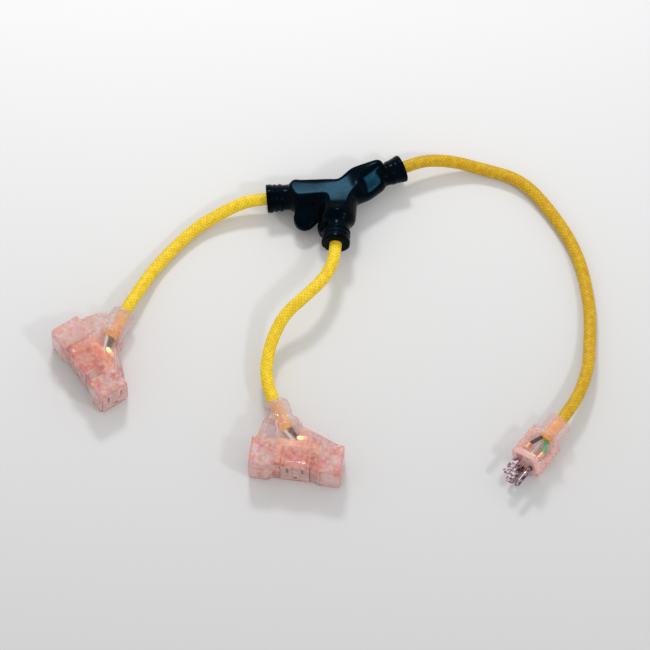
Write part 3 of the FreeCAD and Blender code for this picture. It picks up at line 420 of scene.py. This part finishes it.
def routeLine(points):
    curve = bpy.data.curves.new("route", "CURVE")
    curve.dimensions = "3D"
    line = curve.splines.new("NURBS")
    line.points.add(len(points) - 1)
    for point, spot in zip(line.points, points):
        point.co = (*(Vector(spot) * mm), 1)
    line.order_u = 3
    line.use_endpoint_u = True
    line.resolution_u = cordSize["steps"]
    return curve


def meshOf(piece):
    view = bpy.context.evaluated_depsgraph_get()
    return bpy.data.meshes.new_from_object(piece.evaluated_get(view))


# a tube round the route, with a map in metres along it and round it
def makeCord(node, facts):
    name = node.replace("_cord", "CordJacket")
    curve = routeLine(facts["points"])
    piece = newPiece(name, curve)
    path = [vertex.co.copy() for vertex in meshOf(piece).vertices]
    curve.bevel_depth = cordSize["diameter"] / 2 * mm
    curve.bevel_resolution = cordSize["sides"] // 2 - 2
    curve.use_fill_caps = True
    tube = meshOf(piece)
    bpy.data.objects.remove(piece)
    piece = newPiece(name, tube, materials[facts["tone"]])
    travelled = [0.0]
    for before, after in zip(path, path[1:]):
        travelled.append(travelled[-1] + (after - before).length)
    last = len(path) - 1
    for loop in tube.uv_layers[0].data:
        ring = min(round(loop.uv.x * last), last)
        loop.uv = (travelled[ring], loop.uv.y * math.pi * cordSize["diameter"] * mm)
    tube.shade_smooth()
    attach(piece, "root")
    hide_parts(node)
    onIt = [item for label, item in frame["nodes"].items() if label.startswith(facts["onIt"])]
    onIt += [skins[label] for label in facts["skins"]]


# moulded skin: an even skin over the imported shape, its edges worn soft by smoothing;
# each turn of smoothing has its passes and the spots round which the skin stays crisp
skinLook = {"merge": 0.002, "smoothing": 0.5}
skins = {}


def moulded(name, node, material, facts, shape=None):
    form = bmesh.new()
    form.from_mesh(frame["nodes"][node].data)
    bmesh.ops.remove_doubles(form, verts=form.verts, dist=skinLook["merge"] * mm)
    data = bpy.data.meshes.new(name)
    form.to_mesh(data)
    form.free()
    piece = newPiece(name, data)
    skin = piece.modifiers.new("evenSkin", "REMESH")
    skin.mode = "VOXEL"
    skin.voxel_size = facts["voxel"] * mm
    data = meshOf(piece)
    bpy.data.objects.remove(piece)
    form = bmesh.new()
    form.from_mesh(data)
    if shape:
        shape(form)
    for passes, spots in facts["smoothing"]:
        far = [vertex for vertex in form.verts
               if all((vertex.co - Vector(spot) * mm).length > facts["keepCrisp"] * mm
                      for spot in spots)]
        for _ in range(passes):
            bmesh.ops.smooth_vert(form, verts=far, factor=skinLook["smoothing"],
                                  use_axis_x=True, use_axis_y=True, use_axis_z=True)
    form.to_mesh(data)
    form.free()
    for label, (spot, near, far) in facts.get("masks", {}).items():
        mask = data.attributes.new(label, "FLOAT", "POINT")
        for item, vertex in zip(mask.data, data.vertices):
            item.value = 1 - share((vertex.co - Vector(spot) * mm).length / mm, near, far)
    data.shade_smooth()
    data.materials.clear()
    piece = newPiece(name, data, material)
    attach(piece, "root")
    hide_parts(node)
    skins[name] = piece
    print(name, len(data.polygons), "faces")


# the hub's own frame and its flats: the deck, the supply arm's front shoulder, the waist's
# two sides (the left one in the world's directions) and the left lobe's top; a flat is cut
# down to "rise", and each fade lifts it to "full" from its low to its high along a direction
hubFrame = {"spot": (25.8, 121.8, 17.6), "heading": 24.5, "roll": -7}
hubFlats = [
    {"normal": (0, 0, 1), "rise": 12.9, "full": 16.6,
     "fades": [((1, 0), 6, 34), ((-0.477, -0.879), 19, 29)]},
    {"normal": (0.06, -0.668, 0.741), "rise": 13.2, "full": 80,
     "fades": [((-1, 0), -17, -10), ((1, 0), 39, 42)]},
    {"normal": (0, 0.883, 0.469), "rise": 11, "full": 16.2,
     "fades": [((1, 0), 0, 20), ((-1, 0), 0, 3)]},
    {"heading": 0, "roll": 0, "normal": (-0.038, 0.883, 0.469), "rise": 12.3, "full": 30,
     "fades": [((1, 0), -3, 3), ((-1, 0), 36, 42)]},
    {"normal": (0, -0.5, 0.866), "rise": 4.5, "full": 40,
     "fades": [((0, 1), -4, 0), ((1, 0), -29, -26), ((0, -1), 19, 21)]},
]
hubSkin = {"voxel": 0.8, "keepCrisp": 22,
           "smoothing": [(26, cordStart.values()),
                         (14, (cordStart["left_cord"], cordStart["front_cord"])), (2, ())]}


def flattenHub(form):
    for flat in hubFlats:
        facts = {**hubFrame, **flat}
        place = (Matrix.Translation(Vector(facts["spot"]) * mm)
                 @ Matrix.Rotation(math.radians(facts["heading"]), 4, "Z")
                 @ Matrix.Rotation(math.radians(facts["roll"]), 4, "X") @ Matrix.Scale(mm, 4))
        back = place.inverted()
        normal = Vector(flat["normal"]).normalized()
        for vertex in form.verts:
            spot = back @ vertex.co
            keep = max(share(spot.x * x + spot.y * y, low, high)
                       for (x, y), low, high in flat["fades"])
            over = spot.dot(normal) - flat["rise"] - (flat["full"] - flat["rise"]) * keep
            if over > 0 and keep < 1:
                vertex.co = place @ (spot - normal * over)


moulded("hubSkin", "hub_cover", materials["hub_black"], hubSkin, flattenHub)

# masks on the clear covers and lamps: a spot in millimetres, and how far from it they
# start to fade and are gone
plugSkin = {"voxel": 0.6, "smoothing": [(3, ())],
            "masks": {"boot": (cordEnd["supply_cord"], 16, 30),
                      "window": ((192.0, -124.0, 26.0), 9, 15)}}
tapSkin = {"voxel": 0.8, "smoothing": [(8, ())]}
tapFades = {"boot": (13, 27), "window": (6, 12), "warm": (6, 34)}
lampSkin = {"voxel": 0.5, "smoothing": [(36, ())]}
lampFades = {"glow": (1, 5)}
taps = {"left": {"boot": cordEnd["left_cord"], "window": (-167.4, -24.0, 27.0),
                 "warm": (-184.6, -38.5, 28.0), "glow": (-169.2, -31.0, 22.0)},
        "front": {"boot": cordEnd["front_cord"], "window": (-15.1, -110.0, 27.0),
                  "warm": (-10.0, -138.0, 28.0), "glow": (-9.0, -114.6, 22.0)}}


def masked(skin, fades, spots):
    return {**skin, "masks": {label: (spots[label], *reach) for label, reach in fades.items()}}


moulded("plugSkin", "plug_cover", materials["plug_clear"], plugSkin)
for tap, spots in taps.items():
    moulded(tap + "TapSkin", tap + "_tap_cover", materials["clear_cover"],
            masked(tapSkin, tapFades, spots))
    moulded(tap + "LampGlass", tap + "_tap_lamp", materials["lamp_glass"],
            masked(lampSkin, lampFades, spots))

for node, facts in cords.items():
    makeCord(node, facts)
print("cords laid:", len(cords))

# floor painted paler towards the back and slightly darker to the right, painted shade for the
# light's fall-off across it; an even room and two soft boxes
studio = {
    "room": 0.73, "floorSize": 6, "floorRoughness": 0.9, "floorSpecular": 0.1,
    "floorNearShaded": 0.64, "floorFarLit": 0.82, "fadeNear": -0.30, "fadeFar": 0.31,
    "sideLeft": -0.27, "sideRight": 0.29, "sidePaintedShade": 0.95,
    "softBoxes": {"overBack": {"spot": (-0.1, 1.12, 1.2), "size": (0.30, 0.22), "power": 9.5},
                  "frontRight": {"spot": (1.106, -0.776, 1.315), "size": (0.18, 0.18),
                                 "power": 6.0}},
}


def makeFloor():
    form = bmesh.new()
    bmesh.ops.create_grid(form, x_segments=1, y_segments=1, size=studio["floorSize"])
    data = bpy.data.meshes.new("floor")
    form.to_mesh(data)
    form.free()
    material, tree, shader = newMaterial("paintedFalloffFloor")
    split = addNode(tree, "ShaderNodeSeparateXYZ", Vector=coordsOf(tree))
    # painted shade: the floor's colour darkens towards the front
    fade = stretch(tree, split.outputs["Y"], studio["fadeNear"], studio["fadeFar"],
                   studio["floorNearShaded"], studio["floorFarLit"])
    # painted shade: slightly darker towards the right, against the extra light of the front right
    # soft box
    side = stretch(tree, split.outputs["X"], studio["sideLeft"], studio["sideRight"],
                   1.0, studio["sidePaintedShade"])
    tone = mathNode(tree, "MULTIPLY", fade, side)
    join = addNode(tree, "ShaderNodeCombineColor", Red=tone, Green=tone, Blue=tone)
    feed(tree, shader.inputs["Base Color"], join.outputs["Color"])
    shader.inputs["Roughness"].default_value = studio["floorRoughness"]
    shader.inputs["Specular IOR Level"].default_value = studio["floorSpecular"]
    newPiece("floor", data, material)


def makeLight():
    world = bpy.data.worlds.new("paleRoom")
    bpy.context.scene.world = world
    world.use_nodes = True
    sky = world.node_tree.nodes["Background"]
    sky.inputs["Color"].default_value = (1, 1, 1, 1)
    sky.inputs["Strength"].default_value = studio["room"]
    for name, facts in studio["softBoxes"].items():
        light = bpy.data.lights.new(name, "AREA")
        light.shape = "RECTANGLE"
        light.size, light.size_y = facts["size"]
        light.energy = facts["power"]
        lamp = newPiece(name, light)
        lamp.location = facts["spot"]
        aimAtFloor(lamp, facts["spot"])


makeFloor()
makeLight()
print("floor and lamps set")

bpy.context.scene.view_settings.view_transform = "Standard"
bpy.context.view_layer.update()
